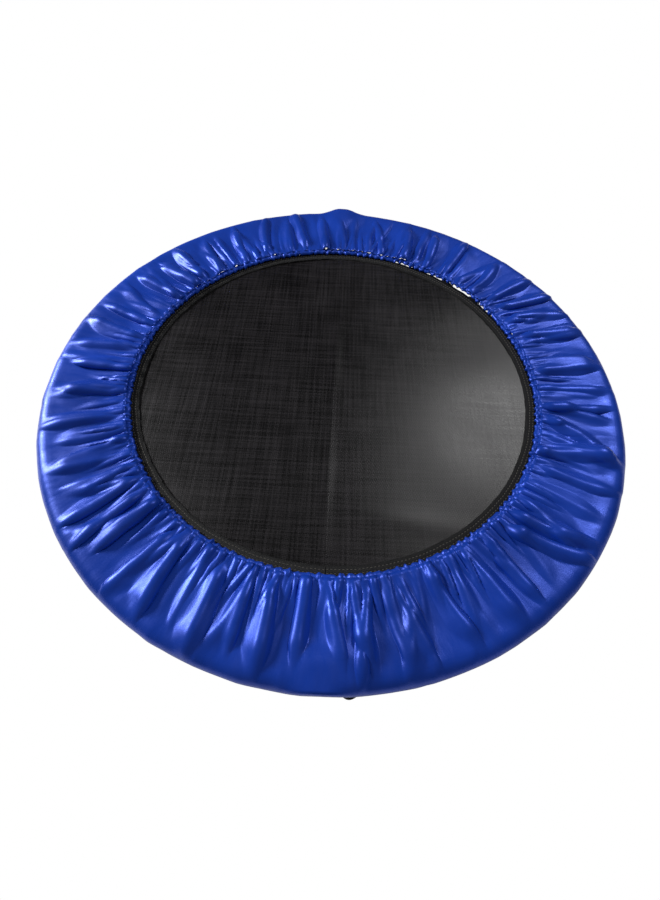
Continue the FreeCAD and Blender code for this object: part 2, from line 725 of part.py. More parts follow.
os.makedirs("parts", exist_ok=True)
for node in nodes:
    node.Shape.exportStep(f"parts/{node.Label}.step")
print(f"{len(nodes)} nodes written")
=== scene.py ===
import math

import bpy
import numpy as np
from mathutils import Matrix, Vector


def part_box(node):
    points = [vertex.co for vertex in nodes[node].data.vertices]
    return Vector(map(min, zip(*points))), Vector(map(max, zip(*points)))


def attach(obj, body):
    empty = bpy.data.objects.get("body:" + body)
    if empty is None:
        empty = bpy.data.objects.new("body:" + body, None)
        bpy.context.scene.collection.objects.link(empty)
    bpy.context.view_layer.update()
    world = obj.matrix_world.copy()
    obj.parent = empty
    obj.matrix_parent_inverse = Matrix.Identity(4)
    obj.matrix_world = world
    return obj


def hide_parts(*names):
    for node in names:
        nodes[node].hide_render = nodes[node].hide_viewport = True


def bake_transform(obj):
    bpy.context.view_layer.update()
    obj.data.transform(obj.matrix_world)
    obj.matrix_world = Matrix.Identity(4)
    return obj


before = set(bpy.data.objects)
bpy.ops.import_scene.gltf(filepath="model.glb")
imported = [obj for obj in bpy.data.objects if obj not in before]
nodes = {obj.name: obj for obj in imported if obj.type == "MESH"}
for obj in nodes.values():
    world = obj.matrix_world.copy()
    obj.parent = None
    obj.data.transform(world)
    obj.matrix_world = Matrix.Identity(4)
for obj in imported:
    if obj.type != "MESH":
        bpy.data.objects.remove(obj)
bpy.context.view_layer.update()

scene = bpy.context.scene
sides = {"right": 0.0, "left": math.pi}  # the left half is the right one turned half a turn

# the places that every piece is built round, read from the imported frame
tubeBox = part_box("frame_tube_right")
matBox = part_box("mat_webbing_right")
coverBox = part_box("cover_right")
matPlane = (matBox[0].z + matBox[1].z) / 2
matRadius = matBox[1].y
coverRadius = coverBox[1].y
tubeRadius = (tubeBox[1].z - tubeBox[0].z) / 2
ringRadius = coverRadius - 0.0165  # the centre line of the frame tube, inside the cover
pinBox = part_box("hinge_pin_back")
pinHeight = (pinBox[0].z + pinBox[1].z) / 2


class Value:
    # wraps a socket, so that shader maths is written as plain expressions
    def __init__(self, graph, socket):
        self.graph = graph
        self.socket = socket

    def do(self, operation, *others, clamp=False):
        # one maths step on this value and the others
        settings = {"operation": operation, "use_clamp": clamp}
        values = [self] + list(others)
        return self.graph.node("ShaderNodeMath", settings, **{str(i): v for i, v in enumerate(values)})[0]

    def __add__(self, other):
        return self.do("ADD", other)

    def __sub__(self, other):
        return self.do("SUBTRACT", other)

    def __mul__(self, other):
        return self.do("MULTIPLY", other)

    def __truediv__(self, other):
        return self.do("DIVIDE", other)

    def __pow__(self, other):
        return self.do("POWER", other)

    def __radd__(self, other):
        return self + other

    def __rmul__(self, other):
        return self * other

    def __neg__(self):
        return self * -1

    def __rsub__(self, other):
        return (self * -1) + other


class Graph:
    # one material's nodes; node() makes any node from its type, settings and socket values
    def __init__(self, name, **fixed):
        self.material = bpy.data.materials.new(name)
        self.material.use_nodes = True
        self.tree = self.material.node_tree
        self.tree.nodes.clear()
        self.out = self.tree.nodes.new("ShaderNodeOutputMaterial")
        self.skin = self.tree.nodes.new("ShaderNodeBsdfPrincipled")
        self.tree.links.new(self.skin.outputs[0], self.out.inputs[0])
        for key, amount in fixed.items():
            self.skin.inputs[key.replace("_", " ")].default_value = amount

    def put(self, socket, value):
        # a link for a value from another node, and a plain setting for anything else
        if isinstance(value, Value):
            self.tree.links.new(value.socket, socket)
        else:
            socket.default_value = value

    def node(self, kind, settings=None, **sockets):
        # sockets are given by name, or by place where the name is a number
        made = self.tree.nodes.new(kind)
        for key, amount in (settings or {}).items():
            setattr(made, key, amount)
        for key, value in sockets.items():
            socket = made.inputs[int(key)] if key.isdigit() else made.inputs[key.replace("_", " ")]
            self.put(socket, value)
        return [Value(self, s) for s in made.outputs]

    def feed(self, **sockets):
        # values for the sockets of the surface itself
        for key, value in sockets.items():
            self.put(self.skin.inputs[key.replace("_", " ")], value)

    def place(self, stretch=(1, 1, 1), turn=0.0, uv=False):
        # the piece's own coordinates, or those of its cloth, in metres, stretched and turned
        where = self.node("ShaderNodeTexCoord")[2 if uv else 3]
        return self.node("ShaderNodeMapping", Vector=where, Scale=stretch, Rotation=(0, 0, turn))[0]

    def noise(self, where, scale, detail=2.0, roughness=0.5):
        # a random value round one half that changes about scale times in each unit of where
        sockets = {"Vector": where, "Scale": scale, "Detail": detail, "Roughness": roughness}
        return self.node("ShaderNodeTexNoise", None, **sockets)[0]

    def parts(self, where):
        # the three numbers of a place, one by one
        return self.node("ShaderNodeSeparateXYZ", Vector=where)

    def between(self, share, first, second):
        # first times (1 - share) plus second times share
        made = self.tree.nodes.new("ShaderNodeMix")
        made.data_type = "RGBA"
        self.put(made.inputs[0], share)
        for socket, colour in ((made.inputs[6], first), (made.inputs[7], second)):
            if isinstance(colour, Value):
                self.tree.links.new(colour.socket, socket)
            else:
                socket.default_value = (*colour, 1)
        return Value(self, made.outputs[2])

    def remap(self, value, low, high, to0=0.0, to1=1.0):
        # low becomes to0, high becomes to1, and anything outside stops at the nearer end
        return self.node(
            "ShaderNodeMapRange", None, Value=value, From_Min=low, From_Max=high, To_Min=to0, To_Max=to1
        )[0]

    def bump(self, height, strength, distance):
        # tilts the surface as if it rose by the height times the distance, as far as the strength lets it
        normal = self.node("ShaderNodeBump", None, Height=height, Strength=strength, Distance=distance)[0]
        self.feed(Normal=normal)


nylon = {
    "deep": (0.0055, 0.038, 0.32),
    "bright": (0.0090, 0.056, 0.46),
    "smoothest": 0.25,
    "roughest": 0.46,
    "threadPitch": 0.0011,
}


def coverNylon():
    # thin shiny plain-weave nylon: fine crinkles, a faint thread grid and cloudy colour
    g = Graph("coverNylon", Specular_IOR_Level=0.35, Metallic=0.3)
    cloth = g.place(uv=True)
    cloudy = g.noise(cloth, 9.0, 3.0)
    crease = g.noise(g.place((1.0, 0.35, 1.0), uv=True), 60.0, 3.0, 0.55)
    fine = g.noise(cloth, 420.0, 2.0)
    across, along, _ = g.parts(cloth)
    turns = 2 * math.pi / nylon["threadPitch"]
    grid = (across * turns).do("SINE") * (along * turns).do("SINE")
    g.feed(Base_Color=g.between(g.remap(cloudy, 0.3, 0.7), nylon["deep"], nylon["bright"]))
    g.feed(Roughness=g.remap(crease + fine * 0.35, 0.4, 0.95, nylon["smoothest"], nylon["roughest"]))
    g.bump(crease * 0.9 + fine * 0.08 + grid * 0.02, 0.3, 0.0022)
    return g.material


weave = {
    "pitch": 0.0022,
    "turn": math.radians(24),
    "dark": (0.0008, 0.0007, 0.001),
    "light": (0.017, 0.015, 0.0175),
    "openest": 0.978,  # alpha in the holes between tapes
    "closest": 0.998,
}


def matWeave():
    # woven tape yarn in two directions, each tape a little different, with worn glossy streaks
    g = Graph("matWeave", Specular_IOR_Level=0.45)
    where = g.place(turn=weave["turn"])
    x, y, _ = g.parts(where)
    turns = math.pi / weave["pitch"]
    warp, weft = (x * turns).do("SINE"), (y * turns).do("SINE")
    over = warp * weft  # which tape lies on top
    crown = warp.do("ABSOLUTE") * weft.do("ABSOLUTE")
    streakX = g.noise(g.place((330.0, 10.0, 1.0), weave["turn"]), 1.0, 2.0)
    streakY = g.noise(g.place((10.0, 330.0, 1.0), weave["turn"]), 1.0, 2.0)
    patch = g.noise(g.place(), 7.0, 3.0)
    thread = g.remap(over, -0.3, 0.3) * streakX + (1 - g.remap(over, -0.3, 0.3)) * streakY
    tint = g.remap(thread + patch * 0.25, 0.48, 0.82)
    g.feed(Base_Color=g.between(tint, weave["dark"], weave["light"]))
    g.feed(Roughness=g.remap(thread + patch * 0.5, 0.5, 1.1, 0.3, 0.44))
    g.feed(Alpha=g.remap(crown + streakX * 0.25, 0.02, 0.3, weave["openest"], weave["closest"]))
    g.bump(crown * 0.6 + over * 0.2 + thread * 0.8, 0.22, 0.0006)
    return g.material


tape = {"rib": 0.0016, "row": 0.0024, "dark": (0.0012, 0.0012, 0.0014), "light": (0.013, 0.013, 0.014)}


def webbingTape(name="webbingTape", uv=True):
    # coarse black webbing: ribs one way and rows the other, each the absolute sine of place over pitch
    g = Graph(name, Roughness=0.72, Specular_IOR_Level=0.3)
    across, along, _ = g.parts(g.place(uv=uv))
    ribs = (across * (math.pi / tape["rib"])).do("SINE").do("ABSOLUTE")
    rows = (along * (math.pi / tape["row"])).do("SINE").do("ABSOLUTE")
    fuzz = g.noise(g.place(uv=uv), 900.0, 3.0)
    # the colour follows the fuzz times the ribs: painted shade darkens the grooves between the ribs, and
    # the fuzz gives the crowns a random tone
    g.feed(Base_Color=g.between(g.remap(fuzz * ribs, 0.1, 0.6), tape["dark"], tape["light"]))
    g.bump(ribs * 0.7 + rows * 0.5 + fuzz * 0.6, 0.7, 0.0009)
    return g.material


def fuzzyThread(name, colour, rough=0.6):
    # spun thread: its colour wanders down to 0.6 of itself over fine fuzz
    g = Graph(name, Roughness=rough)
    fuzz = g.noise(g.place(), 1500.0, 2.0)
    g.feed(Base_Color=g.between(fuzz, [c * 0.6 for c in colour], colour))
    g.bump(fuzz, 0.3, 0.0003)
    return g.material


powder = {"black": (0.012, 0.012, 0.013), "rubbed": (0.05, 0.05, 0.052), "roughness": (0.3, 0.5)}


def powderCoat():
    # satin black powder coat with an orange-peel skin and a few rubbed spots
    g = Graph("powderCoat", Specular_IOR_Level=0.5, Coat_Weight=0.15, Coat_Roughness=0.25)
    where = g.place()
    peel = g.noise(where, 420.0, 2.0)
    rub = g.remap(g.noise(where, 26.0, 4.0, 0.65), 0.62, 0.74)
    g.feed(Base_Color=g.between(rub * 0.5, powder["black"], powder["rubbed"]))
    g.feed(Roughness=g.remap(peel + rub * 0.4, 0.3, 1.0, *powder["roughness"]))
    g.bump(peel, 0.25, 0.0005)
    return g.material


zinc = {"wireTone": 0.6, "pinTone": 0.5, "roughness": (0.22, 0.45)}


def zincWire(name, tone):
    # bright zinc plate with drawing lines and a dull bloom
    g = Graph(name, Metallic=1.0)
    where = g.place()
    bloom = g.noise(where, 60.0, 4.0, 0.6)
    lines = g.noise(g.place((2200.0, 2200.0, 260.0)), 1.0, 1.0)
    g.feed(Base_Color=g.between(bloom, (tone * 0.75, tone * 0.74, tone * 0.7), (tone, tone, tone * 0.98)))
    g.feed(Roughness=g.remap(bloom + lines * 0.4, 0.4, 1.1, *zinc["roughness"]))
    g.bump(lines, 0.1, 0.0002)
    return g.material


rubber = {"clean": (0.011, 0.011, 0.011), "dusty": (0.034, 0.033, 0.031), "roughness": (0.6, 0.78)}


def mouldedRubber():
    # matt rubber with fine pits, paler and rougher where dust lies
    g = Graph("mouldedRubber", Specular_IOR_Level=0.35)
    where = g.place()
    pits = g.noise(where, 700.0, 3.0)
    dust = g.noise(where, 45.0, 3.0)
    g.feed(Base_Color=g.between(g.remap(dust, 0.45, 0.75), rubber["clean"], rubber["dusty"]))
    g.feed(Roughness=g.remap(dust, 0.3, 0.7, *rubber["roughness"]))
    g.bump(pits, 0.3, 0.0005)
    return g.material


plastic = {"dark": (0.012, 0.012, 0.012), "light": (0.022, 0.022, 0.022), "roughness": (0.4, 0.52)}


def blackPlastic():
    # fine-grained black plastic, between two near blacks
    g = Graph("blackPlastic", Specular_IOR_Level=0.5)
    grain = g.noise(g.place(), 900.0, 2.0)
    g.feed(Base_Color=g.between(grain, plastic["dark"], plastic["light"]))
    g.feed(Roughness=g.remap(grain, 0.3, 0.7, *plastic["roughness"]))
    g.bump(grain, 0.2, 0.0003)
    return g.material


elastic = {"dark": (0.35, 0.35, 0.34), "light": (0.6, 0.6, 0.58)}


def elasticBraid():
    # pale braid: a warped wave for the colour and the bump alike
    g = Graph("elasticBraid", Roughness=0.7)
    braid = g.node("ShaderNodeTexWave", Vector=g.place(), Scale=260.0, Distortion=2.0)[1]
    g.feed(Base_Color=g.between(braid, elastic["dark"], elastic["light"]))
    g.bump(braid, 0.4, 0.0005)
    return g.material


paper = {"grey": (0.86, 0.86, 0.87), "white": (0.9, 0.9, 0.9)}


def floorPaper():
    # matt white with a slow change of tone
    g = Graph("floorPaper", Roughness=0.85, Specular_IOR_Level=0.2)
    tone = g.noise(g.place(), 1.3, 2.0)
    g.feed(Base_Color=g.between(tone, paper["grey"], paper["white"]))
    return g.material


def put(name, points, faces, material, uv=None, rounded=True):
    # a mesh from whole arrays of points and of faces with the same number of corners
    mesh = bpy.data.meshes.new(name)
    faces = np.asarray(faces, np.int32)
    mesh.vertices.add(len(points))
    mesh.vertices.foreach_set("co", np.asarray(points, np.float32).ravel())
    mesh.loops.add(faces.size)
    mesh.loops.foreach_set("vertex_index", faces.ravel())
    mesh.polygons.add(len(faces))
    mesh.polygons.foreach_set("loop_start", np.arange(0, faces.size, faces.shape[1], dtype=np.int32))
    mesh.update(calc_edges=True)
    if uv is not None:
        layer = mesh.uv_layers.new(name="UVMap")
        layer.data.foreach_set("uv", np.asarray(uv, np.float32).ravel())
    mesh.polygons.foreach_set("use_smooth", np.full(len(faces), rounded))
    mesh.materials.append(material)
    mesh.validate()
    obj = bpy.data.objects.new(name, mesh)
    scene.collection.objects.link(obj)
    return obj


def gridFaces(rows, columns, wrapRows=False, wrapColumns=False):
    # four corners for every cell of a grid of points
    i = np.arange(rows if wrapRows else rows - 1)[:, None]
    j = np.arange(columns if wrapColumns else columns - 1)[None, :]
    a = i * columns + j
    b = ((i + 1) % rows) * columns + j
    c = ((i + 1) % rows) * columns + (j + 1) % columns
    d = i * columns + (j + 1) % columns
    return np.stack([a, b, c, d], -1).reshape(-1, 4)


def cellUv(rows, columns, across, along, wrapRows=False, wrapColumns=False):
    # the corners' places on the cloth, in metres; a closed direction runs on past its seam
    i = np.arange(rows if wrapRows else rows - 1)[:, None] + np.zeros((1, columns - (not wrapColumns)), int)
    j = np.arange(columns if wrapColumns else columns - 1)[None, :] + np.zeros_like(i)
    u = np.stack([i, i + 1, i + 1, i], -1) * (across / (rows if wrapRows else rows - 1))
    v = np.stack([j, j, j + 1, j + 1], -1) * (along / (columns if wrapColumns else columns - 1))
    return np.stack([u, v], -1).reshape(-1, 2)


def polar(radius, angle, height):
    # x is the radius times the cosine of the angle, y is the radius times its sine
    return np.stack([radius * np.cos(angle), radius * np.sin(angle), height + 0 * radius * angle], -1)


def smooth(t, low, high):
    # 0 below low, 1 above high, and a smooth step between
    t = np.clip((t - low) / (high - low), 0, 1)
    return t * t * (3 - 2 * t)


def wire(path, away, radius, sidesRound=6):
    # a round section carried along a path; away is a direction that the path never follows
    step = np.gradient(path, axis=0)
    step /= np.linalg.norm(step, axis=1)[:, None]
    first = np.cross(step, away)
    first /= np.linalg.norm(first, axis=1)[:, None]
    second = np.cross(step, first)
    turn = np.linspace(0, 2 * np.pi, sidesRound, endpoint=False)
    ring = np.cos(turn)[None, :, None] * first[:, None] + np.sin(turn)[None, :, None] * second[:, None]
    points = (path[:, None] + radius * ring).reshape(-1, 3)
    count = len(path)
    faces = gridFaces(count, sidesRound, wrapColumns=True)[:, ::-1]
    # each end closes on a point of its own
    points = np.concatenate([points, path[:1], path[-1:]])
    i = np.arange(sidesRound)
    j = (i + 1) % sidesRound
    start, end = count * sidesRound, count * sidesRound + 1
    low = np.stack([j, i, np.full_like(i, start)], -1)
    top = (count - 1) * sidesRound
    high = np.stack([top + i, top + j, np.full_like(i, end)], -1)
    return points, faces, np.concatenate([low, high])


def joined(name, shells, material):
    # several closed shells in one mesh, each as quads and triangles
    points, corners, counts, start = [], [], [], 0
    for p, quads, caps in shells:
        points.append(p)
        corners += [(quads + start).ravel(), (caps + start).ravel()]
        counts += [np.full(len(quads), 4), np.full(len(caps), 3)]
        start += len(p)
    points, corners, counts = np.concatenate(points), np.concatenate(corners), np.concatenate(counts)
    mesh = bpy.data.meshes.new(name)
    mesh.vertices.add(len(points))
    mesh.vertices.foreach_set("co", points.astype(np.float32).ravel())
    mesh.loops.add(len(corners))
    mesh.loops.foreach_set("vertex_index", corners.astype(np.int32))
    mesh.polygons.add(len(counts))
    begin = np.concatenate([[0], np.cumsum(counts)[:-1]]).astype(np.int32)
    mesh.polygons.foreach_set("loop_start", begin)
    mesh.update(calc_edges=True)
    mesh.polygons.foreach_set("use_smooth", np.full(len(counts), True))
    mesh.materials.append(material)
    mesh.validate()
    obj = bpy.data.objects.new(name, mesh)
    scene.collection.objects.link(obj)
    return obj


cover = {
    "around": 1360,
    "down": 34,
    "rise": 0.0170,  # the sheet's height over the tube's centre where it rounds the tube
    "tuck": 0.001,  # how far the sheet begins inside the casing's middle
    "tuckRise": 0.0044,
    "slopeEnd": 0.004,  # how far short of the tube's centre the slope ends
    # points outside the tube: in from the skin, and down from the mat's plane
    "skirt": ((0.0002, 0.012), (0.0012, 0.029), (0.004, 0.032), (0.0072, 0.0285)),
    "sag": 0.0022,  # how far the slope hangs between its edge and the tube
    "wrap": math.radians(98),  # how far the sheet goes round the tube
    "hingeLift": 0.0050,  # over the hinge pin's centre
    "knuckle": (0.006, 0.060),  # from the fold line: where the lift starts to fade, and where it ends
    "swing": 0.02,
    "seed": 7,
    # folds: how many, height, where they start and stop from the inner edge (0) to the hem (1)
    "folds": [
        (190, 0.0024, -0.10, 0.00, 0.05, 0.15),
        (112, 0.0044, -0.05, 0.02, 0.14, 0.42),
        (68, 0.0104, -0.02, 0.12, 0.49, 0.68),
        (40, 0.0066, 0.06, 0.26, 0.46, 0.66),
        (30, 0.0026, 0.24, 0.40, 0.56, 0.74),
        (60, 0.0007, 0.60, 0.72, 0.90, 1.10),
    ],
}
header = {
    "radius": 0.3602,
    "rise": 0.0072,
    # stretches where it stands off from the mat: where, how wide and how far
    "standsOff": ((math.radians(44), 0.22, 0.0078), (math.radians(68), 0.05, 0.0039)),
    "around": 2400,
    "section": 14,
    "ruffles": 168,
    "width": 0.0066,
    "height": 0.0042,
    "depth": 0.0021,
}
clothRun = 2 * np.pi * 0.44  # a round trip at the middle of the cover, for the cloth's own coordinates


def coverProfile(count):
    # the sheet's section from the inner edge up a shallow slope, round the tube and down to the hem
    middle, skin = ringRadius, cover["rise"]
    inner = np.array([header["radius"] - cover["tuck"], matPlane + header["rise"] + cover["tuckRise"]])
    slopeEnd = np.array([middle - cover["slopeEnd"], matPlane + skin])
    turn = np.linspace(cover["wrap"], 0, 16)
    over = np.stack([middle + skin * np.cos(turn), matPlane + skin * np.sin(turn)], -1)
    skirt = np.array([(middle + skin - inward, matPlane - below) for inward, below in cover["skirt"]])
    sag = np.linspace(0, 1, 10)[:, None]
    slope = inner + (slopeEnd - inner) * sag
    slope[:, 1] -= cover["sag"] * np.sin(np.pi * sag[:, 0])
    line = np.concatenate([slope, over[1:], skirt])
    length = np.concatenate([[0], np.cumsum(np.linalg.norm(np.diff(line, axis=0), axis=1))])
    at = np.linspace(0, length[-1], count)
    line = np.stack([np.interp(at, length, line[:, k]) for k in range(2)], -1)
    step = np.gradient(line, axis=0)
    normal = np.stack([-step[:, 1], step[:, 0]], -1)
    return line, normal / np.linalg.norm(normal, axis=1)[:, None], length[-1]


def foldHeight(angle, down):
    # the sum of several families of sharp folds, each a ridge with its own place, lean, width and reach
    rng = np.random.default_rng(cover["seed"])
    height = np.zeros(np.broadcast(angle, down).shape)
    for count, tall, on0, on1, off0, off1 in cover["folds"]:
        pitch = 2 * np.pi / count
        centre = pitch * (np.arange(count) + rng.uniform(-0.38, 0.38, count))
        lean = rng.normal(0, 0.07, count)
        curl = rng.normal(0, 0.05, count)
        wide = pitch * rng.uniform(0.22, 0.52, count)
        side = rng.uniform(0.35, 1.65, count)
        size = tall * rng.uniform(0.35, 1.15, count)
        late = rng.uniform(-0.07, 0.09, count)
        sharp = rng.uniform(1.0, 1.6, count)
        for i in range(count):
            where = centre[i] + lean[i] * down + curl[i] * down**2
            apart = (angle - where + np.pi) % (2 * np.pi) - np.pi
            # one flank is steeper than the other, and the fold narrows to a point where it ends
            closing = 1 - 0.65 * smooth(down, off0 + late[i] - 0.1, off1 + late[i])
            spread = wide[i] * (0.7 + 0.9 * down) * closing
            spread = spread * np.where(apart > 0, side[i], 2 - side[i])
            ridge = np.clip(1 - np.abs(apart) / spread, 0, 1) ** sharp[i]
            begun = smooth(down, on0 + late[i], on1 + late[i])
            ended = smooth(down, off0 + late[i], off1 + late[i])
            height += size[i] * ridge * (begun * (1 - ended))
    return height


def makeCover():
    # the profile carried round in a circle, moved out along its own normal by the height of the folds
    line, normal, length = coverProfile(cover["down"])
    angle = np.linspace(0, 2 * np.pi, cover["around"], endpoint=False)[:, None]
    down = np.linspace(0, 1, cover["down"])[None, :]
    height = foldHeight(angle, down)
    # 0.55 of the mean comes off near the inner edge, and all of it from the tube on
    height -= height.mean(0, keepdims=True) * (0.55 + 0.45 * smooth(down, 0.5, 0.7))
    radius = line[None, :, 0] + normal[None, :, 0] * height
    rise = line[None, :, 1] + normal[None, :, 1] * height
    # the hinge's knuckles hold the sheet up at the two ends of the fold line
    knuckle = 1 - smooth(np.abs(np.cos(angle)) * coverRadius, *cover["knuckle"])
    beside = line[None, :, 0] - ringRadius
    over = (1 - smooth(beside, 0.0156, 0.0172)) * (1 - smooth(-beside, 0.015, 0.050)) * (rise > matPlane)
    rise = rise + knuckle * over * np.maximum(pinHeight + cover["hingeLift"] - rise, 0)
    # cloth drawn between folds also swings a little to the side
    swing = np.gradient(height, axis=0) / (2 * np.pi / cover["around"]) * cover["swing"]
    points = polar(radius, angle - swing, rise)
    rows, columns = cover["around"], cover["down"]
    uv = cellUv(rows, columns, clothRun, length, wrapRows=True)
    faces = gridFaces(rows, columns, wrapRows=True)
    obj = put("cover_fabric", points.reshape(-1, 3), faces, materials["nylon"], uv)
    shell = obj.modifiers.new("thickness", "SOLIDIFY")
    shell.thickness = 0.0005
    shell.offset = -1
    return obj


def makeHeader():
    # the casing round the elastic: an oval section whose walls ruffle, with a slow wander in pitch
    rng = np.random.default_rng(11)
    angle = np.linspace(0, 2 * np.pi, header["around"], endpoint=False)[:, None]
    turn = np.linspace(0, 2 * np.pi, header["section"], endpoint=False)[None, :]
    wander = sum(
        rng.uniform(0.2, 0.9) / k * np.sin(k * angle * 3 + rng.uniform(0, 6))
        for k in (1, 2, 3, 5, 8, 13)
    )
    phase = header["ruffles"] * angle + 4.5 * wander
    soft = 0.6 + 0.4 * np.sin(17 * angle + 2) * np.sin(41 * angle) + 0.25 * np.sin(73 * angle + 2 * wander)
    waves = np.sin(phase + 0.9 * np.sin(turn)) + 0.35 * np.sin(2.1 * phase + turn)
    ruffle = header["depth"] * soft * waves
    wide = header["width"] + ruffle + 0.0006 * np.sin(61 * angle + 4 * wander)
    tall = header["height"] + 0.75 * ruffle
    # the edge lies on the mat's webbing, apart from the stretches where it stands off
    off = sum(far * np.exp(-(((angle - at) / spread) ** 2)) for at, spread, far in header["standsOff"])
    centre = header["radius"] + off
    radius = centre + wide * np.cos(turn)
    rise = matPlane + header["rise"] + tall * np.sin(turn) + 0.0005 * np.sin(7 * angle + 1)
    points = polar(radius, angle + 0.0035 * np.sin(turn) * np.sin(29 * angle), rise)
    rows, columns = header["around"], header["section"]
    uv = cellUv(rows, columns, clothRun, 0.035, wrapRows=True, wrapColumns=True)
    faces = gridFaces(rows, columns, wrapRows=True, wrapColumns=True)
    return put("cover_header", points.reshape(-1, 3), faces, materials["nylon"], uv)


matPiece = {
    "rows": 90,
    "columns": 70,
    "thickness": 0.0014,
    "edge": 0.010,  # how far in from the webbing's outer edge the fabric stops
    "ridge": 0.0011,
    "ridgeWidth": 0.009,
    "slack": 0.0010,
    "creaseAt": (0.13, -0.255),
    "creaseSize": (0.10, 0.018),
    "creaseLean": 0.1,
    "waves": 9,
    "waveHeight": 0.0007,
    "dish": 0.0012,
}


def matHeight(x, y):
    # a fine ridge along the fold, one crease, slack waves near the edge and a shallow dish, added up
    r = np.hypot(x, y)
    ridge = matPiece["ridge"] * np.exp(-(((x - 0.004 * np.sin(7 * y)) / matPiece["ridgeWidth"]) ** 2))
    ridge = ridge * (0.6 + 0.4 * np.sin(y * 23))
    creaseX, creaseY = matPiece["creaseAt"]
    spreadX, spreadY = matPiece["creaseSize"]
    crease = np.exp(-(((y - creaseY + matPiece["creaseLean"] * x) / spreadY) ** 2))
    slack = matPiece["slack"] * crease * np.exp(-(((x - creaseX) / spreadX) ** 2))
    wave = matPiece["waveHeight"] * np.sin(matPiece["waves"] * np.arctan2(y, x) + 1)
    slack += wave * smooth(r, 0.16, 0.30)
    return ridge + slack - matPiece["dish"] * (1 - (r / matRadius) ** 2)


def makeMat(side, turn):
    # a half disc: rows follow one another along the fold, and each runs straight out to the rim
    u = np.linspace(0, 1, matPiece["columns"]) ** 1.3
    u = np.insert(u, 1, 0.0004)[None, :]
    v = np.linspace(-0.97, 0.97, matPiece["rows"])[:, None] * (np.pi / 2)
    radius = matRadius - matPiece["edge"]
    x = u * radius * np.cos(v)
    y = radius * np.sin(v) + 0 * u
    c, s = math.cos(turn), math.sin(turn)
    x, y = c * x - s * y, s * x + c * y
    points = np.stack([x, y, matPlane + matHeight(x, y)], -1)
    faces = gridFaces(*points.shape[:2])[:, ::-1]
    obj = put(f"mat_fabric_{side}", points.reshape(-1, 3), faces, materials["weave"])
    shell = obj.modifiers.new("thickness", "SOLIDIFY")
    shell.thickness = matPiece["thickness"]
    shell.offset = 0
    return obj


band = {
    "around": 620,
    "width": 0.0215,
    "height": 0.0072,
    "overhang": 0.001,
    "ripple": 0.0006,
    "wave": 0.0003,
    "foldGap": 0.00004,  # an angle, in radians
}
stitch = {
    "pitch": 0.0056,
    "length": 0.0034,
    "radius": 0.00042,
    "sink": 0.0003,
    "hump": 0.00045,
    "rows": (0.0085, 0.0142),  # how far in from the webbing's outer edge each row lies
}


def bandSection(angle, turn, seed):
    # a flat oval round the edge of the mat that wanders a little, as sewn webbing does
    rng = np.random.default_rng(seed)
    wander = sum(rng.uniform(0.3, 1) * np.sin(k * angle + rng.uniform(0, 6)) for k in (9, 23, 57, 91)) / 2
    c, s = np.cos(turn), np.sin(turn)
    # a rounded box section
    flat = np.sign(c) * np.abs(c) ** 0.35
    upright = np.sign(s) * np.abs(s) ** 0.55
    radius = matRadius + band["overhang"] - band["width"] / 2 * (1 - flat) + band["ripple"] * wander
    rise = matPlane + band["height"] / 2 * upright + band["wave"] * wander
    return radius, rise, wander


def makeBand(side, turn, seed):
    # the rounded box section carried round half a circle, a hair short of the fold at each end
    start = turn - np.pi / 2 + band["foldGap"]
    angle = np.linspace(start, start + np.pi - 2 * band["foldGap"], band["around"])[:, None]
    about = np.linspace(0, 2 * np.pi, 20, endpoint=False)[None, :]
    radius, rise, _ = bandSection(angle, about, seed)
    points = polar(radius, angle, rise)
    rows, columns = points.shape[:2]
    uv = cellUv(rows, columns, np.pi * matRadius, 0.06, wrapColumns=True)
    faces = gridFaces(rows, columns, wrapColumns=True)
    return put(f"mat_edge_{side}", points.reshape(-1, 3), faces, materials["webbing"], uv)


def makeStitches(side, turn, seed):
    # short thread arcs that dip into the webbing at both ends, in two rows above and below
    shells = []
    along = np.linspace(-0.5, 0.5, 4)
    for inset in stitch["rows"]:
        for face in (1, -1):
            radius = matRadius - inset
            count = int(np.pi * radius / stitch["pitch"])
            middle = turn - np.pi / 2 + np.pi * (np.arange(count) + 0.5) / count
            _, _, wander = bandSection(middle, np.pi / 2, seed)
            angle = middle[:, None] + along[None, :] * stitch["length"] / radius
            rad = (radius + band["ripple"] * wander)[:, None] + 0 * angle
            hump = 1 - (2 * along[None, :]) ** 2
            above = band["height"] / 2 - stitch["sink"] + stitch["hump"] * hump
            rise = matPlane + face * above + band["wave"] * wander[:, None]
            points = polar(rad, angle, rise)
            out = np.stack([np.cos(angle), np.sin(angle), 0 * angle], -1)
            up = np.array([0, 0, 1.0])
            r = stitch["radius"] * (0.55 + 0.45 * hump)[..., None]
            flat, tall = r * 1.5 * out, r * up
            ring = np.stack([points + flat, points + tall, points - flat, points - tall], 2)
            rings = ring.reshape(count, -1, 3)
            quads = gridFaces(len(along), 4, wrapColumns=True)
            ends = np.array([[3, 2, 1, 0], [12, 13, 14, 15]])
            oneStitch = np.concatenate([quads[:, ::-1], ends[:, ::-1]])
            first = np.arange(count) * rings.shape[1]
            faces = (oneStitch[None] + first[:, None, None]).reshape(-1, 4)
            shells.append((rings.reshape(-1, 3), faces, np.zeros((0, 3), int)))
    return joined(f"mat_stitches_{side}", shells, materials["thread"])


springs = {
    "perSide": 16,
    "wire": 0.0012,
    "coil": 0.0053,
    "neck": 0.45,  # the end turns' share of the coil's radius
    "start": 0.388,
    "length": 0.070,
    "pitch": 0.00252,
    "ringWire": 0.0015,
    "hookGap": 0.0005,
    "anchorBend": 0.003,
    "anchorRise": 0.0055,
}
springStep = np.pi / springs["perSide"]


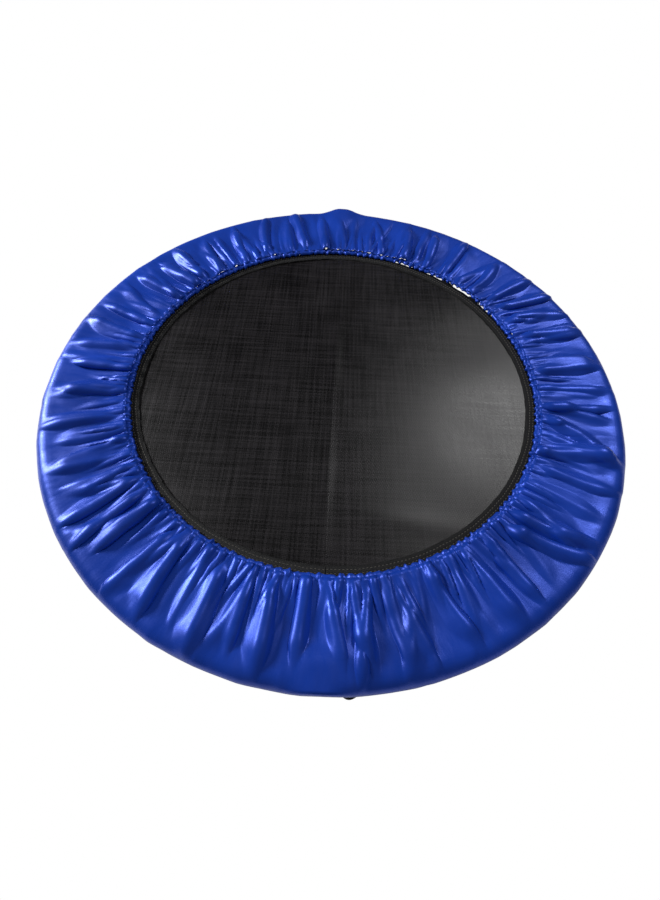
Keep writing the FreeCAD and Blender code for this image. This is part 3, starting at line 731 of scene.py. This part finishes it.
def springShells(angle):
    # coils: a helix round the radial line; hook: half a circle round the ring; anchor: a quarter upwards
    start, length, wireRadius = springs["start"], springs["length"], springs["wire"]
    turns = length / springs["pitch"]
    t = np.linspace(0, 1, int(turns * 10))
    ends = smooth(t, 0, 0.03) * (1 - smooth(t, 0.97, 1))
    radius = springs["coil"] * (springs["neck"] + (1 - springs["neck"]) * ends)
    swing = 2 * np.pi * turns * t + np.pi / 2
    coils = np.stack([start + length * t, radius * np.cos(swing), radius * np.sin(swing)], -1)
    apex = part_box("mat_rings_right")[1].y / math.cos(springStep / 2) - springs["ringWire"]
    bend = wireRadius + springs["ringWire"] + springs["hookGap"]
    around = np.linspace(np.pi / 2, 3 * np.pi / 2, 9)
    hook = np.concatenate([
        [[start + 0.003, 0, springs["neck"] * springs["coil"]], [start - 0.002, 0, bend]],
        np.stack([apex + bend * np.cos(around), 0 * around, bend * np.sin(around)], -1),
        [[apex + 0.0025, 0, -bend]],
    ])
    wall = tubeBox[1].y - 2 * tubeRadius
    end = start + length
    lean = np.linspace(0, np.pi / 2, 6)
    curve = springs["anchorBend"]
    anchor = np.concatenate([
        [[end - 0.003, 0, 0.0], [end + 0.004, 0, 0]],
        np.stack([wall + 0.004 + curve * np.sin(lean), 0 * lean, curve * (1 - np.cos(lean))], -1),
        [[wall + 0.004 + curve, 0, springs["anchorRise"]]],
    ])
    c, s = math.cos(angle), math.sin(angle)
    turn = np.array([[c, s, 0], [-s, c, 0], [0, 0, 1]])
    shells = []
    for path, away, corners in ((coils, (1, 0, 0), 5), (hook, (0, 1, 0), 6), (anchor, (0, 1, 0), 6)):
        points, quads, caps = wire(path, np.array(away, float), wireRadius, corners)
        shells.append((points @ turn + [0, 0, matPlane], quads, caps))
    return shells


materials = {
    "nylon": coverNylon(),
    "weave": matWeave(),
    "webbing": webbingTape(),
    "strap": webbingTape("strapTape", uv=False),
    "thread": fuzzyThread("stitchThread", (0.10, 0.092, 0.078)),
    "frame": powderCoat(),
    "zinc": zincWire("zincWire", zinc["wireTone"]),
    "pin": zincWire("zincPin", zinc["pinTone"]),
    "rubber": mouldedRubber(),
    "plastic": blackPlastic(),
    "elastic": elasticBraid(),
}
finishes = {
    "frame_tube": "frame", "leg_socket": "frame", "hinge_leaf": "frame", "leg_tube": "frame",
    "tube_end_caps": "plastic", "leg_foot": "rubber", "leg_stud": "pin", "hinge_pin": "pin",
    "mat_rings": "zinc", "springs": "zinc", "ring_straps": "strap", "mat_webbing": "webbing",
    "cover_elastic": "elastic", "hem_elastic": "elastic", "cover": "nylon", "mat": "weave",
}
# each node takes the finish whose start its name has
for name, node in nodes.items():
    finish = next(f for start, f in finishes.items() if name.startswith(start))
    if node.material_slots:
        for holder in node.material_slots:
            holder.material = materials[finish]
    else:
        node.data.materials.append(materials[finish])
print("frame finished")

# the cover and its casing are each one whole piece round both halves
fabric = makeCover()
casing = makeHeader()
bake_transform(fabric)
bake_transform(casing)
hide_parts("cover_left", "cover_right", "hem_elastic_left", "hem_elastic_right")
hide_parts("cover_elastic_left", "cover_elastic_right")
print("cover finished")

for seed, (side, turn) in enumerate(sides.items()):
    body = f"suspended_mat_{side}"
    sheet, edge = makeMat(side, turn), makeBand(side, turn, 3 + seed)
    threads = makeStitches(side, turn, 3 + seed)
    for piece in (sheet, edge, threads):
        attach(piece, body)
    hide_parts(f"mat_{side}")
    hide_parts(f"mat_webbing_{side}")
    # each spring stretches between the frame and the mat
    for i in range(springs["perSide"]):
        angle = turn + springStep * (i - (springs["perSide"] - 1) / 2)
        coil = joined(f"spring_{side}_{i + 1:02d}", springShells(angle), materials["zinc"])
        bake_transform(coil)
        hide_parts(f"springs_{side}")
print("mat and springs finished")


room = {
    "floor": 14.0,
    "seen": 1.0,
    "sky": 0.42,
    "mirrored": 0.025,
    # square lamps: name, place, aim, side, power
    "lamps": (
        ("key", (-2.1, 0.7, 1.25), (0, 0, 0.2), 0.7, 62.0),
        ("window", (0.95, 0.95, 1.8), (0.25, -0.12, 0.235), 0.42, 12.0),
    ),
}


def makeRoom():
    # a floor that the camera doesn't see, a plain white surround and two square lamps
    half = room["floor"] / 2
    points = np.array([[-half, -half, 0], [half, -half, 0], [half, half, 0], [-half, half, 0]], float)
    floor = put("floor", points, [[0, 1, 2, 3]], floorPaper(), rounded=False)
    floor.visible_camera = False
    world = bpy.data.worlds.new("studio")
    scene.world = world
    world.use_nodes = True
    # the walls look white, but what lights the object and what its gloss mirrors is a dimmer room
    tree = world.node_tree
    path = tree.nodes.new("ShaderNodeLightPath")
    strength = None
    for ray, amount in (("Is Glossy Ray", room["mirrored"]), ("Is Camera Ray", room["seen"])):
        dim = tree.nodes.new("ShaderNodeMapRange")
        tree.links.new(path.outputs[ray], dim.inputs["Value"])
        if strength:
            tree.links.new(strength, dim.inputs["To Min"])
        else:
            dim.inputs["To Min"].default_value = room["sky"]
        dim.inputs["To Max"].default_value = amount
        strength = dim.outputs[0]
    tree.links.new(strength, tree.nodes["Background"].inputs[1])
    tree.nodes["Background"].inputs[0].default_value = (1, 1, 1, 1)
    for name, where, aim, size, power in room["lamps"]:
        light = bpy.data.lights.new(name, "AREA")
        light.energy, light.size = power, size
        lamp = bpy.data.objects.new(name, light)
        lamp.location = where
        lamp.rotation_euler = (Vector(aim) - Vector(where)).to_track_quat("-Z", "Y").to_euler()
        scene.collection.objects.link(lamp)


view = {
    "distance": 0.718,
    "elevation": math.radians(58.93),
    "aim": (-0.0018, -0.149),
    "roll": math.radians(2.87),
    "lens": 17.59,
}


def makeCamera():
    # stands back from the aim by distance, along a line that rises at the elevation, and rolls about it
    e, roll = view["elevation"], view["roll"]
    back = Vector((0, -math.cos(e), math.sin(e)))
    up = Vector((0, math.sin(e), math.cos(e)))
    right = Vector((1, 0, 0))
    right, up = math.cos(roll) * right + math.sin(roll) * up, math.cos(roll) * up - math.sin(roll) * right
    where = Vector((*view["aim"], matPlane)) + back * view["distance"]
    lens = bpy.data.cameras.new("camera")
    lens.lens, lens.sensor_width, lens.sensor_fit = view["lens"], 36, "AUTO"
    lens.clip_start, lens.clip_end = 0.01, 50
    camera = bpy.data.objects.new("camera", lens)
    camera.matrix_world = Matrix.Translation(where) @ Matrix((right, up, back)).transposed().to_4x4()
    scene.collection.objects.link(camera)
    scene.camera = camera


makeRoom()
makeCamera()
scene.view_settings.view_transform = "Standard"
print("room finished")
